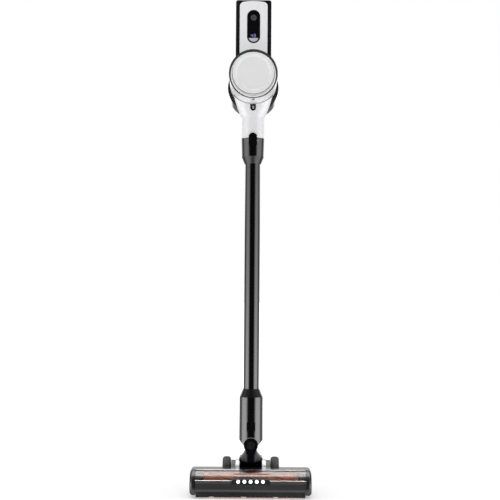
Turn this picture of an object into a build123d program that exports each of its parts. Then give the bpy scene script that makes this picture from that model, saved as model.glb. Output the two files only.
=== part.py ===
from build123d import *
import math
import os

os.makedirs("parts", exist_ok=True)

# Cordless stick vacuum, upright on the floor. Millimetres, +Z up, the front is -Y.
# Heights are above the floor. Depths run back from the wand's axis, negative to the front.

# Driving dimensions: the whole machine
front_reach = 105  # from the wand's axis to the exhaust cap's face
back_reach = 146  # from the wand's axis to the battery's rear face
tube_diameter = 34
tube_wall = 2
tube_length = 584
head_half_width = 131
deck_rise = 182  # the control deck's top above the drum's axis

# Named clearances
running_gap = 0.4  # between pieces that move past each other
seat_gap = 0.3  # between curved faces of neighbours
pin_gap = 0.15  # radial, round a pin

# Floor head
brush_depth = -66
brush_height = 27
brush_radius = 24.2
brush_core_radius = 17
brush_half_length = 102.5
shaft_radius = 4
chamber_radius = 27.2
window_radius = 30
window_wall = 2.4
shell_wall = 3
side_wall = 4
sole_height = 5
head_front = -98
head_rear = -8
deck_rear_height = 54
lip_height = 38
bumper_bottom = 15
bumper_thickness = 4.3
lens_count = 5
lens_pitch = 13.2
lens_radius = 3.5
lens_height = 37.3
end_cap_width = 12
end_cap_rounding = 7
skirt_bottom = 7
skirt_thickness = 2.2
front_wheel_radius = 8
front_wheel_width = 8.5
front_wheel_depth = -80
front_axle_radius = 1.5
brush_pulley_radius = 10
motor_pulley_radius = 7
belt_thickness = 1.6
belt_width = 5
motor_depth = -23.4
motor_height = 22
motor_radius = 12
motor_plate_gap = 4  # between the side plate and the motor
motor_duct_gap = 14  # between the motor's end and the suction duct
duct_half_width = 22
duct_wall = 2

# Rear axle, which is also the wand's tilting axis
wheel_space = 3  # between the head's rear edge and the wheels
wheel_radius = 35
wheel_width = 18.5
tyre_thickness = 8
axle_height = wheel_radius
axle_radius = 3
barrel_radius = 25.5
barrel_half_width = 24.3
trunnion_radius = 14
ring_radius = 29.5
ring_width = 9.5
bracket_width = 9.5
bracket_radius = 27

# Swivel neck, connector and wand
sleeve_radius = 26
socket_radius = 22
spigot_radius = 21.7
spigot_wall = 3.7
spigot_length = 30
bell_top = 90
lean_height = 103
arch_radius = 16
tongue_inner = 18
tongue_outer = 25.5
lean_pin_radius = 4
connector_top = 154
sleeve_length = 54
cone_length = 18
collar_length = 57
collar_cone = 16
collar_top_radius = 26.3
release_button_width = 18
latch_button_height = 19

# Hand unit
drum_radius = 53
drum_wall = 3.5
drum_front = -88
drum_back = 18
drum_rise = 129  # drum axis above the collar's top
cap_drop = 3  # the exhaust cap's rim sits this much below the drum's axis
front_ring_width = 4
cap_step = 4  # the cap's rim round its disc
cap_disc_height = 4
bin_radius = 57.5
bin_wall = 2.2
bin_length = 70
bin_drop = 9
screen_radius = 34
screen_wall = 1.6
fan_radius = 31
motor_can_radius = 36
motor_can_wall = 2
deck_half_width = 39.8
deck_front = -19
deck_back = 15
deck_wall = 3
cover_half_width = 31.1
cover_rise = 3
cover_thickness = 5.5
display_width = 29
display_length = 75
display_top_margin = 23
power_button_radius = 6.5
moon_radius = 11.4
grip_half_width = 17
grip_height = 40
grip_wall = 4
grip_below_top = 22
battery_half_width = 37
battery_height = 98
battery_wall = 2.5
battery_length = 46
cell_radius = 9.2
cell_length = 65
charge_bore_radius = 2.8
charge_bore_length = 9

# Places that follow from the sizes
wand_y = (front_reach - back_reach) / 2
inner_half = head_half_width - end_cap_width - running_gap
plate_inner = brush_half_length + 1.5
plate_outer = plate_inner + side_wall
motor_length = plate_inner - motor_plate_gap - duct_half_width - motor_duct_gap
axle_depth = head_rear + wheel_space + wheel_radius
seam_depth = brush_depth + 4
seam_height = brush_height + math.sqrt(window_radius**2 - 4**2)
sleeve_top = connector_top + sleeve_length
tube_radius = tube_diameter / 2
tube_low = connector_top + 6.2
tube_high = tube_low + tube_length
collar_low = tube_high - 15
collar_top = collar_low + collar_length
drum_height = collar_top + drum_rise
cap_height = drum_height - cap_drop
cap_rim_radius = drum_radius - front_ring_width
cap_disc_radius = cap_rim_radius - cap_step
bin_height = drum_height - bin_drop
bin_front = drum_back + 2.3
bin_back = bin_front + bin_length
deck_top = drum_height + deck_rise
battery_front = back_reach - battery_length
grip_high = deck_top - grip_below_top
grip_low = grip_high - grip_height
grip_mid = (grip_high + grip_low) / 2
battery_top = deck_top - 9
battery_low = battery_top - battery_height


def post(radius, low, high, x=0, depth=0):
    """A cylinder along Z."""
    body = Cylinder(radius, high - low, align=(Align.CENTER, Align.CENTER, Align.MIN))
    return Pos(x, wand_y + depth, low) * body


def axial(radius, front, back, height, x=0):
    """A cylinder along Y."""
    body = Cylinder(radius, back - front, align=(Align.CENTER, Align.CENTER, Align.MIN))
    return Pos(x, wand_y + front, height) * Rot(-90, 0, 0) * body


def cross(radius, left, right, depth, height):
    """A cylinder along X."""
    body = Cylinder(radius, right - left, align=(Align.CENTER, Align.CENTER, Align.MIN))
    return Pos(left, wand_y + depth, height) * Rot(0, 90, 0) * body


def block(left, right, front, back, low, high):
    """A box from its six faces."""
    body = Box(right - left, back - front, high - low, align=(Align.MIN, Align.MIN, Align.MIN))
    return Pos(left, wand_y + front, low) * body


def side_prism(points, left, right):
    """A prism along X from a side outline of (depth, height) points."""
    outline = Polyline(*[(wand_y + depth, height) for depth, height in points], close=True)
    plane = Plane((left, 0, 0), x_dir=(0, 1, 0), z_dir=(1, 0, 0))
    return extrude(plane * make_face(outline), right - left, dir=(1, 0, 0))


def front_prism(points, front, back):
    """A prism along Y from a front outline of (x, height) points."""
    outline = Polyline(*points, close=True)
    plane = Plane((0, wand_y + front, 0), x_dir=(1, 0, 0), z_dir=(0, -1, 0))
    return extrude(plane * make_face(outline), back - front, dir=(0, 1, 0))


def turned(points, depth=0):
    """A solid of revolution about a vertical axis from (radius, height) points."""
    outline = Plane.XZ * make_face(Polyline(*points, close=True))
    return Pos(0, wand_y + depth, 0) * revolve(outline, Axis.Z)


def turned_axial(points, height):
    """A solid of revolution about a Y axis from (radius, depth) points."""
    outline = Plane.XY * make_face(Polyline(*points, close=True))
    return Pos(0, wand_y, height) * revolve(outline, Axis.Y)


def both_sides(body):
    """The piece and its mirror image across the machine's middle plane."""
    return [body, mirror(body, Plane.YZ)]


def save(node, *pieces):
    """Writes one node as a STEP file with all of its solids."""
    solids = [solid for piece in pieces for solid in piece.solids()]
    shape = solids[0] if len(solids) == 1 else Compound(solids)
    export_step(shape, f"parts/{node}.step")


# Floor head -----------------------------------------------------------------


def head_profile(front_radius, left, right, low):
    """The head's side outline: a round nose over the brush and a flat deck behind it."""
    nose = cross(front_radius, left, right, brush_depth, brush_height)
    deck = side_prism(
        [
            (seam_depth, seam_height),
            (head_rear - 4, deck_rear_height),
            (head_rear, deck_rear_height - 4),
            (head_rear, low + 6),
            (head_rear - 6, low),
            (brush_depth, low),
            (brush_depth, brush_height),
            (seam_depth, brush_height),
        ],
        left,
        right,
    )
    limits = block(left, right, head_front - 20, head_rear + 20, low, seam_height + 20)
    return (nose + deck) & limits


def make_head_shell():
    """Main housing: deck, brush chamber, sole and the two side boxes."""
    shell = head_profile(chamber_radius, -inner_half, inner_half, sole_height)
    shell -= cross(chamber_radius, -plate_inner, plate_inner, brush_depth, brush_height)
    shell -= block(-plate_inner, plate_inner, head_front - 9, seam_depth + seat_gap, 0, 80)
    shell -= block(-plate_inner, plate_inner, head_front - 9, brush_depth + 22, 0, 12)
    room_top = deck_rear_height - shell_wall
    room_back = head_rear - shell_wall
    room_low = sole_height + shell_wall
    room = block(-plate_inner + 3, plate_inner - 3, brush_depth + 16, room_back, room_low, room_top)
    shell -= room - cross(window_radius, -plate_inner, plate_inner, brush_depth, brush_height)
    box_room = block(plate_outer, inner_half, brush_depth, room_back, room_low, room_top - 1)
    box_room += cross(brush_radius, plate_outer, inner_half, brush_depth, brush_height)
    wheel_well = front_wheel_radius + 1.2
    box_room += cross(wheel_well, plate_outer, inner_half, front_wheel_depth, front_wheel_radius)
    for room in both_sides(box_room):
        shell -= room
    shaft_hole = shaft_radius + pin_gap
    shell -= cross(shaft_hole, -head_half_width, head_half_width, brush_depth, brush_height)
    shell -= cross(motor_pulley_radius - 2, -inner_half, -plate_inner + 4, motor_depth, motor_height)
    axle_hole = front_axle_radius
    for hole in both_sides(
        cross(axle_hole, plate_outer - 2.5, inner_half, front_wheel_depth, front_wheel_radius)
    ):
        shell -= hole
    half = duct_half_width + pin_gap
    duct_low = axle_height - 21 - pin_gap
    duct_high = axle_height + 11 + pin_gap
    shell -= block(-half, half, brush_depth + 10, head_rear + 5, duct_low, duct_high)
    save("head_shell", shell)


def make_head_window():
    """Clear quarter-round window over the brush, with a notch for the lamp panel."""
    window = cross(window_radius, -inner_half, inner_half, brush_depth, brush_height)
    inner = window_radius - window_wall
    window -= cross(inner, -head_half_width, head_half_width, brush_depth, brush_height)
    low = lip_height + pin_gap
    window &= block(-inner_half, inner_half, head_front - 9, seam_depth - pin_gap, low, 90)
    window -= lamp_outline(running_gap)
    save("head_window", window)


def lamp_outline(grow):
    """The lamp panel's trapezoid, from the bumper's lip up across the window's edge."""
    low = lip_height - 5 - grow
    high = lip_height + 6 + grow
    points = [(-42.5 - grow, low), (42.5 + grow, low), (37.5 + grow, high), (-37.5 - grow, high)]
    return front_prism(points, head_front - 2, brush_depth - 20)


def make_lamp_panel():
    """Trapezoid lamp housing with five pockets, and the five lenses."""
    panel = lamp_outline(0)
    slope = [
        (head_front - 3, lip_height - 8),
        (head_front - 1, lip_height - 8),
        (head_front - 1, lip_height + 1.5),
        (head_front + 3.5, lip_height + 8),
        (head_front - 3, lip_height + 8),
    ]
    panel -= side_prism(slope, -60, 60)
    panel -= cross(window_radius - window_wall - 1, -60, 60, brush_depth, brush_height)
    lenses = []
    for index in range(lens_count):
        x = (index - (lens_count - 1) / 2) * lens_pitch
        panel -= axial(lens_radius + pin_gap, head_front - 3, head_front + 2.5, lens_height, x)
        lens = axial(lens_radius, head_front - 1.6, head_front + 2.5, lens_height, x)
        lenses.append(fillet(lens.faces().sort_by(Axis.Y)[0].edges(), 0.7))
    save("lamp_panel", panel)
    save("lamp_lenses", *lenses)


def make_front_bumper():
    """Front bar between the end caps, with a lip under the window."""
    back = head_front + bumper_thickness
    points = [
        (head_front + 1.5, bumper_bottom),
        (back, bumper_bottom),
        (back, lip_height),
        (head_front + 4, lip_height),
        (head_front, lip_height - 6),
        (head_front, bumper_bottom + 5),
    ]
    bumper = side_prism(points, -inner_half, inner_half)
    bumper -= lamp_outline(pin_gap)
    save("front_bumper", bumper)
    front = back - skirt_thickness
    reach = inner_half - 1
    skirt = block(-reach, reach, front, back, skirt_bottom, bumper_bottom)
    save("front_skirt", skirt)


def make_end_caps():
    """Rounded caps that close the two ends of the head."""
    left = inner_half + running_gap
    cap = head_profile(window_radius + 0.5, left, head_half_width, sole_height + 1)
    cap = fillet(cap.faces().sort_by(Axis.X)[-1].edges(), end_cap_rounding)
    axle_hole = front_axle_radius
    cap -= cross(axle_hole, left - 1, left + 3, front_wheel_depth, front_wheel_radius)
    save("end_caps", *both_sides(cap))


def make_suction_duct():
    """Rectangular throat from the brush chamber to the tilting barrel."""
    low = axle_height - 21
    high = axle_height + 11
    half = duct_half_width
    duct = block(-half, half, brush_depth + 12, axle_depth - 12, low, high)
    inner = half - duct_wall
    duct -= block(-inner, inner, brush_depth, axle_depth, low + duct_wall, high - duct_wall)
    duct -= cross(chamber_radius + 0.8, -half - 1, half + 1, brush_depth, brush_height)
    duct -= cross(barrel_radius + running_gap, -half - 1, half + 1, axle_depth, axle_height)
    save("suction_duct", duct)


def make_brush():
    """Brush roller: core with its shaft, soft pile and the driven pulley."""
    core = cross(brush_core_radius, -brush_half_length, brush_half_length, brush_depth, brush_height)
    left_end = -inner_half + 1
    core += cross(shaft_radius, left_end, plate_outer + 1, brush_depth, brush_height)
    save("brush_core", core)
    half = brush_half_length - 2
    pile = cross(brush_radius, -half, half, brush_depth, brush_height)
    pile -= cross(brush_core_radius + 0.05, -half, half, brush_depth, brush_height)
    save("brush_pile", pile)
    save("brush_pulley", pulley(brush_pulley_radius, brush_depth, brush_height, shaft_radius + 0.05))


def pulley(radius, depth, height, bore):
    """A flanged belt pulley in the left side box."""
    start = -plate_outer - 1.5 - belt_width
    wheel = cross(radius, start, start + belt_width + 0.6, depth, height)
    wheel += cross(radius + 1.2, start - 1, start - 0.3, depth, height)
    wheel += cross(radius, start - 0.3, start, depth, height)
    if bore:
        wheel -= cross(bore, start - 2, start + belt_width + 2, depth, height)
    return wheel


def make_brush_motor():
    """Brush motor with its pulley shaft, and the belt."""
    left = -plate_inner + motor_plate_gap
    motor = cross(motor_radius, left, left + motor_length, motor_depth, motor_height)
    motor = fillet(motor.faces().sort_by(Axis.X)[-1].edges(), 2)
    shaft = shaft_radius - 2
    motor -= cross(shaft + pin_gap, left - 1, left + 20, motor_depth, motor_height)
    save("brush_motor", motor)
    rotor = pulley(motor_pulley_radius, motor_depth, motor_height, 0)
    rotor += cross(shaft, -plate_outer - 3, left + 18, motor_depth, motor_height)
    save("motor_pulley", rotor)
    start = -plate_outer - 1.4 - belt_width
    belt = belt_prism(pin_gap + belt_thickness, start, belt_width - 0.2)
    belt -= belt_prism(pin_gap, start - 1, belt_width + 2)
    save("drive_belt", belt)


def belt_prism(grow, left, width):
    """A prism along X round both pulleys, grown by a distance."""
    plane = Plane((left, 0, 0), x_dir=(0, 1, 0), z_dir=(1, 0, 0))
    big = Pos(wand_y + brush_depth, brush_height) * Circle(brush_pulley_radius + grow)
    small = Pos(wand_y + motor_depth, motor_height) * Circle(motor_pulley_radius + grow)
    outline = make_hull(big.edges() + small.edges())
    return extrude(plane * outline, width, dir=(1, 0, 0))


def make_front_wheels():
    """Two small wheels under the ends of the head."""
    left = plate_outer + 1
    wheel = cross(front_wheel_radius, left, left + front_wheel_width, front_wheel_depth, front_wheel_radius)
    wheel = fillet(wheel.edges().filter_by(GeomType.CIRCLE), 1.5)
    bore = front_axle_radius + pin_gap
    wheel -= cross(bore, left - 1, left + 20, front_wheel_depth, front_wheel_radius)
    right_wheel, left_wheel = both_sides(wheel)
    save("front_wheel_right", right_wheel)
    save("front_wheel_left", left_wheel)


def make_axles():
    """Fixed axles of the four wheels."""
    front = cross(
        front_axle_radius, plate_outer - 2, inner_half + 3, front_wheel_depth, front_wheel_radius
    )
    inner = barrel_half_width + ring_width + 1
    outer = inner + bracket_width + wheel_width + 2
    rear = cross(axle_radius, inner, outer, axle_depth, axle_height)
    rear += cross(axle_radius + 3, outer - 0.5, outer + 1.5, axle_depth, axle_height)
    save("wheel_axles", *both_sides(front), *both_sides(rear))


def make_brackets():
    """Arms that carry the rear axle, and the bright trunnion rings beside them."""
    inner = barrel_half_width + ring_width + running_gap
    outer = inner + bracket_width
    arm = side_prism(
        [
            (head_rear, sole_height + 8),
            (axle_depth, axle_height - bracket_radius),
            (axle_depth, axle_height + bracket_radius),
            (head_rear, deck_rear_height - 5),
        ],
        inner,
        outer,
    )
    arm += cross(bracket_radius, inner, outer, axle_depth, axle_height)
    arm -= cross(axle_radius, inner - 1, outer + 1, axle_depth, axle_height)
    save("axle_brackets", *both_sides(arm))
    start = barrel_half_width + running_gap
    ring = cross(ring_radius, start, inner, axle_depth, axle_height)
    ring = fillet(ring.edges().filter_by(GeomType.CIRCLE), 1.2)
    ring -= cross(trunnion_radius + running_gap, start - 1, inner - 2, axle_depth, axle_height)
    ring -= cross(axle_radius + pin_gap, start, inner + 1, axle_depth, axle_height)
    ring -= block(start - 1, inner + 1, head_rear - 20, head_rear + pin_gap, 0, 80)
    save("pivot_rings", *both_sides(ring))


def make_rear_wheels():
    """Two large wheels with soft tyres."""
    inner = barrel_half_width + ring_width + bracket_width + 1.4
    outer = inner + wheel_width
    hub_radius = wheel_radius - tyre_thickness
    hub = cross(hub_radius, inner, outer, axle_depth, axle_height)
    for side in (inner - 1, outer - 4):
        dish = cross(hub_radius - 3, side, side + 5, axle_depth, axle_height)
        hub -= dish - cross(9, side, side + 5, axle_depth, axle_height)
    hub -= cross(axle_radius + pin_gap, inner - 1, outer + 1, axle_depth, axle_height)
    tyre = cross(wheel_radius, inner, outer, axle_depth, axle_height)
    tyre = fillet(tyre.edges().filter_by(GeomType.CIRCLE), 4)
    tyre -= cross(hub_radius + 0.05, inner - 1, outer + 1, axle_depth, axle_height)
    for name, hub_side, tyre_side in zip(("right", "left"), both_sides(hub), both_sides(tyre)):
        save(f"rear_wheel_{name}", hub_side)
        save(f"rear_tyre_{name}", tyre_side)


# Swivel neck and connector --------------------------------------------------


def make_pivot_barrel():
    """Hollow barrel that tilts back on its two trunnions."""
    half = barrel_half_width
    barrel = cross(barrel_radius, -half, half, axle_depth, axle_height)
    trunnion = half + ring_width - 2
    barrel += cross(trunnion_radius, -trunnion, trunnion, axle_depth, axle_height)
    barrel -= cross(barrel_radius - 4, -half + 3, half - 3, axle_depth, axle_height)
    opening = half - 5
    barrel -= block(-opening, opening, 0, axle_depth, axle_height - 20, axle_height + 9)
    barrel -= block(-14, 14, axle_depth - 18, axle_depth + 6, axle_height + 10, axle_height + 40)
    save("pivot_barrel", barrel)


def make_swivel_bell():
    """Bell above the barrel with the two tongues of the leaning pivot."""
    curve = Line((0, 66), (sleeve_radius, 66))
    curve += Line((sleeve_radius, 66), (sleeve_radius, 73))
    curve += ThreePointArc((sleeve_radius, 73), (17, 79.5), (12.5, bell_top))
    curve += Line((12.5, bell_top), (-12.5, bell_top))
    curve += ThreePointArc((-12.5, bell_top), (-17, 79.5), (-sleeve_radius, 73))
    curve += Line((-sleeve_radius, 73), (-sleeve_radius, 66))
    curve += Line((-sleeve_radius, 66), (0, 66))
    plane = Plane((0, wand_y - 40, 0), x_dir=(1, 0, 0), z_dir=(0, -1, 0))
    bell = extrude(plane * make_face(curve), 80, dir=(0, 1, 0))
    bell &= post(sleeve_radius, 60, bell_top)
    foot = [
        (-19, 61.5),
        (-25, 67),
        (0, 72),
        (24, 74),
        (axle_depth + 14, axle_height + 24),
        (axle_depth + 14, axle_height + 10),
        (axle_depth - 22, axle_height + 13),
    ]
    bell += side_prism(foot, -barrel_half_width, barrel_half_width)
    bell -= cross(barrel_radius + pin_gap, -40, 40, axle_depth, axle_height)
    passage = [(-13, 95), (13, 95), (13, 72), (axle_depth + 4, 55), (20, 40), (8, 50), (-13, 66)]
    bell -= side_prism(passage, -12, 12)
    for front, back in ((-tongue_outer, -tongue_inner), (tongue_inner, tongue_outer)):
        tongue = block(-10.5, 10.5, front, back, bell_top - 6, lean_height)
        tongue += axial(arch_radius - running_gap, front, back, lean_height)
        tongue -= axial(lean_pin_radius, front - 1, back + 1, lean_height)
        bell += tongue
    save("swivel_bell", bell)


def make_lean_pins():
    """Headed pins of the leaning pivot, front and back."""
    pin = axial(lean_pin_radius, -tongue_outer, -tongue_inner + 3.8, lean_height)
    pin += axial(9, -tongue_outer - 1.2, -tongue_outer, lean_height)
    back_pin = Pos(0, wand_y, 0) * Rot(0, 0, 180) * Pos(0, -wand_y, 0) * pin
    save("lean_pins", pin, back_pin)


def make_connector():
    """Lower connector: socket for the wand and cheeks on the leaning pins."""
    body = post(sleeve_radius, lean_height, connector_top)
    body -= post(socket_radius, lean_height - 9, connector_top + 9)
    for side in (-1, 1):
        corner = [
            (side * arch_radius, lean_height),
            (side * (sleeve_radius + 1), lean_height + sleeve_radius + 1 - arch_radius),
            (side * (sleeve_radius + 1), lean_height - 5),
            (side * arch_radius, lean_height - 5),
        ]
        body -= front_prism(corner, -40, 40)
    body -= axial(arch_radius, -40, -tongue_inner + running_gap, lean_height)
    body -= axial(arch_radius, tongue_inner - running_gap, 40, lean_height)
    inner = tongue_inner - 3.5
    outer = tongue_inner - 0.5
    for front, back in ((-outer, -inner), (inner, outer)):
        cheek = block(-18.5, 18.5, front, back, lean_height + 3, lean_height + 18)
        cheek += axial(12, front, back, lean_height)
        cheek -= axial(lean_pin_radius + pin_gap, front - 1, back + 1, lean_height)
        body += cheek
    half = release_button_width / 2 + running_gap
    low = connector_top - latch_button_height - 1.4
    body -= block(-half, half, -40, -10, low, connector_top - 0.6)
    save("connector_body", body)


def make_head_release():
    """Round-ended button on the connector that lets the wand go."""
    half = release_button_width / 2
    low = connector_top - latch_button_height - 1
    high = connector_top - 1
    button = block(-half, half, -sleeve_radius - 1.2, -socket_radius - 2.2, low + half, high)
    button += axial(half, -sleeve_radius - 1.2, -socket_radius - 2.2, low + half)
    save("head_release_button", button)


# Wand -----------------------------------------------------------------------


def make_wand():
    """Tube with its lower sleeve, upper collar, wiring and release rocker."""
    tube = post(tube_radius, tube_low, tube_high)
    tube -= post(tube_radius - tube_wall, tube_low - 1, tube_high + 1)
    save("wand_tube", tube)
    grip_radius = tube_radius + 0.05
    bore = spigot_radius - spigot_wall
    spigot_low = connector_top - spigot_length
    sleeve = turned(
        [
            (bore, spigot_low),
            (spigot_radius, spigot_low),
            (spigot_radius, connector_top),
            (sleeve_radius, connector_top),
            (sleeve_radius, sleeve_top),
            (tube_radius + 1.2, sleeve_top + cone_length),
            (grip_radius, sleeve_top + cone_length),
            (grip_radius, tube_low),
            (bore - 3, tube_low),
            (bore - 3, tube_low - 2),
            (bore, tube_low - 2),
        ]
    )
    save("wand_sleeve", sleeve)
    cone_top = collar_low + collar_cone
    collar = turned(
        [
            (grip_radius, collar_low),
            (tube_radius + 1.2, collar_low),
            (sleeve_radius - 1.2, cone_top),
            (collar_top_radius, collar_top),
            (socket_radius, collar_top),
            (socket_radius, cone_top + 1),
            (grip_radius, cone_top + 1),
        ]
    )
    half = release_button_width / 2 + running_gap
    pocket_low = collar_top - 17
    collar -= block(-half, half, -40, -socket_radius - 0.9, pocket_low, collar_top + 5)
    pin_height = collar_top - 7
    pin = cross(1.2, -half - 3, half + 3, -socket_radius - 3.3, pin_height)
    collar -= pin
    save("wand_collar", collar)
    save("wand_release_pin", pin)
    back = -socket_radius - 2.2
    front = -collar_top_radius - 3.7
    width = release_button_width / 2
    button = block(-width, width, front, back, pocket_low + 0.6, collar_top + 1)
    upper = -spigot_radius - 4.9
    button += block(-width, width, front, upper, collar_top, collar_top + 10 - width / 2)
    button += axial(width, front, upper, collar_top + 10 - width)
    button -= block(-width - 1, width + 1, upper, 0, collar_top - 1, collar_top + 20)
    button -= cross(1.2 + pin_gap, -20, 20, -socket_radius - 3.3, pin_height)
    save("wand_release_button", button)


# Hand unit ------------------------------------------------------------------


def make_neck_duct():
    """White neck: spigot into the wand, flaring up under the drum, with the air passage."""
    neck_radius = collar_top_radius - 0.1
    under_drum = drum_height - drum_radius
    straight_top = under_drum - 29
    top = under_drum + 33
    half_depth = (neck_radius + bin_front - 0.6) / 2
    middle = half_depth - neck_radius
    neck = post(neck_radius, collar_top, straight_top)
    sections = [Pos(0, wand_y, straight_top) * Circle(neck_radius)]
    sections.append(Pos(0, wand_y + middle, under_drum) * Ellipse(drum_radius - 15.7, half_depth))
    sections.append(Pos(0, wand_y + middle, top) * Ellipse(drum_radius - 6.5, half_depth))
    neck += loft(sections)
    neck -= axial(drum_radius + seat_gap, drum_front - 9, drum_back + 9, drum_height)
    bin_low = bin_height - bin_radius - 3
    neck -= block(-80, 80, bin_front - 0.6, 80, bin_low, top + 9)
    neck += post(spigot_radius, collar_top - spigot_length, collar_top)
    bore = spigot_radius - spigot_wall
    window_low = bin_low + 4
    neck -= post(bore, collar_top - spigot_length - 1, window_low + 2.5)
    neck -= block(-12, 12, 0, 40, window_low, window_low + 8.5)
    half = 6 + running_gap
    button_low = under_drum - 16
    round_height = button_low + half
    pocket_back = -neck_radius + 4.6
    neck -= block(-half, half, -40, pocket_back, round_height, button_low + 15)
    neck -= axial(half, -40, pocket_back, round_height)
    save("neck_duct", neck)
    button = block(-6, 6, -neck_radius - 1, -neck_radius + 2, round_height, button_low + 14.6)
    button += axial(6, -neck_radius - 1, -neck_radius + 2, round_height)
    save("bin_release_button", button)


def make_drum():
    """Motor drum, its black front ring, exhaust cap and exhaust filter."""
    drum = axial(drum_radius, drum_front, drum_back, drum_height)
    drum -= axial(drum_radius - drum_wall, drum_front - 1, drum_back - 4, drum_height)
    drum -= axial(22, drum_back - 9, drum_back + 1, drum_height)
    save("motor_drum", drum)
    ring = axial(drum_radius, drum_front - 8, drum_front, drum_height)
    ring -= axial(cap_rim_radius + running_gap, drum_front - 9, drum_front + 1, cap_height)
    save("front_ring", ring)
    rim_front = -front_reach + cap_disc_height
    cap = axial(cap_rim_radius, rim_front, drum_front - 2, cap_height)
    cap = fillet(cap.faces().sort_by(Axis.Y)[0].edges(), 1.2)
    disc = axial(cap_disc_radius, -front_reach, rim_front, drum_height)
    disc = fillet(disc.faces().sort_by(Axis.Y)[0].edges(), 1)
    cap += disc
    dish_depth = 1.6
    dish_half = cap_disc_radius - 5
    dish_radius = (dish_half**2 + dish_depth**2) / (2 * dish_depth)
    dish_middle = wand_y - front_reach + dish_depth - dish_radius
    cap -= Pos(0, dish_middle, drum_height) * Sphere(dish_radius)
    cap -= axial(cap_rim_radius - 3, drum_front - 7, drum_front, cap_height)
    save("exhaust_cap", cap)
    pleats = 40
    points = []
    for index in range(2 * pleats):
        angle = math.pi * index / pleats
        radius = cap_rim_radius - 3.6 if index % 2 else cap_rim_radius - 9
        points.append((radius * math.cos(angle), cap_height + radius * math.sin(angle)))
    filter_body = front_prism(points, drum_front + 1, drum_front + 26)
    filter_body -= axial(24, drum_front, drum_front + 30, cap_height)
    filter_body += axial(cap_rim_radius - 3.4, drum_front - 6.6, drum_front + 1, cap_height)
    filter_body -= axial(20, drum_front - 9, drum_front + 30, cap_height)
    save("exhaust_filter", filter_body)


def make_suction_motor():
    """Suction motor can with its stator, and the fan on its shaft."""
    can_front = drum_back - 70
    can_back = drum_back - 4.3
    wall = motor_can_wall
    can = axial(motor_can_radius, can_front, can_back, drum_height)
    can -= axial(motor_can_radius - wall, can_front + 3, can_back + 1, drum_height)
    can += axial(motor_can_radius - wall + 0.5, can_front + 9, can_front + 30, drum_height)
    can -= axial(13, can_front + 8, can_front + 31, drum_height)
    bulkhead = axial(motor_can_radius - wall + 0.5, can_front + 34, can_front + 36, drum_height)
    can += bulkhead - axial(5, can_front + 30, can_front + 40, drum_height)
    flange = axial(drum_radius - drum_wall - seat_gap, can_back - 3, can_back, drum_height)
    can += flange - axial(motor_can_radius - 0.5, can_back - 4, can_back + 1, drum_height)
    can -= axial(3 + pin_gap, can_front - 1, can_front + 4, drum_height)
    for index in range(8):
        angle = math.pi * index / 4
        x = 22 * math.cos(angle)
        height = drum_height + 22 * math.sin(angle)
        can -= axial(4, can_front - 1, can_front + 4, height, x)
    save("motor_can", can)
    hub_front = can_front + 40
    fan = axial(3, can_front + 0.5, hub_front + 14, drum_height)
    fan += axial(12, can_front + 10, can_front + 29, drum_height)
    fan += axial(8, hub_front, hub_front + 14, drum_height)
    fan += axial(fan_radius, hub_front, hub_front + 2, drum_height)
    for index in range(9):
        blade = block(6, fan_radius - 1, hub_front + 1, hub_front + 12, -1, 1)
        turn = Pos(0, 0, drum_height) * Rot(0, 40 * index, 0)
        fan += turn * blade
    save("suction_fan", fan)


def make_cyclone():
    """Cyclone screen with its slots, inner cone and foam pre-filter."""
    base = drum_back + 0.1
    end = bin_back - 22
    screen = axial(screen_radius, base, end, drum_height - 3)
    screen -= axial(screen_radius - screen_wall, base - 1, end - 2, drum_height - 3)
    screen += axial(screen_radius + 2, base, base + 2, drum_height - 3)
    screen -= axial(screen_radius - screen_wall, base - 1, base + 3, drum_height - 3)
    slots = 12
    for index in range(slots):
        slot = block(-2, 2, base + 8, end - 8, screen_radius - 6, screen_radius + 3)
        screen -= Pos(0, 0, drum_height - 3) * Rot(0, 360 * index / slots, 0) * slot
    save("cyclone_screen", screen)
    cone_front = base + 16
    cone_back = end - 2.1
    outer = [(25, cone_front), (27, cone_front), (13, cone_back), (11, cone_back)]
    save("cyclone_cone", turned_axial(outer, drum_height - 3))
    foam = axial(screen_radius - screen_wall - 0.2, base, cone_front - 0.2, drum_height - 3)
    save("pre_filter", foam)


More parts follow.
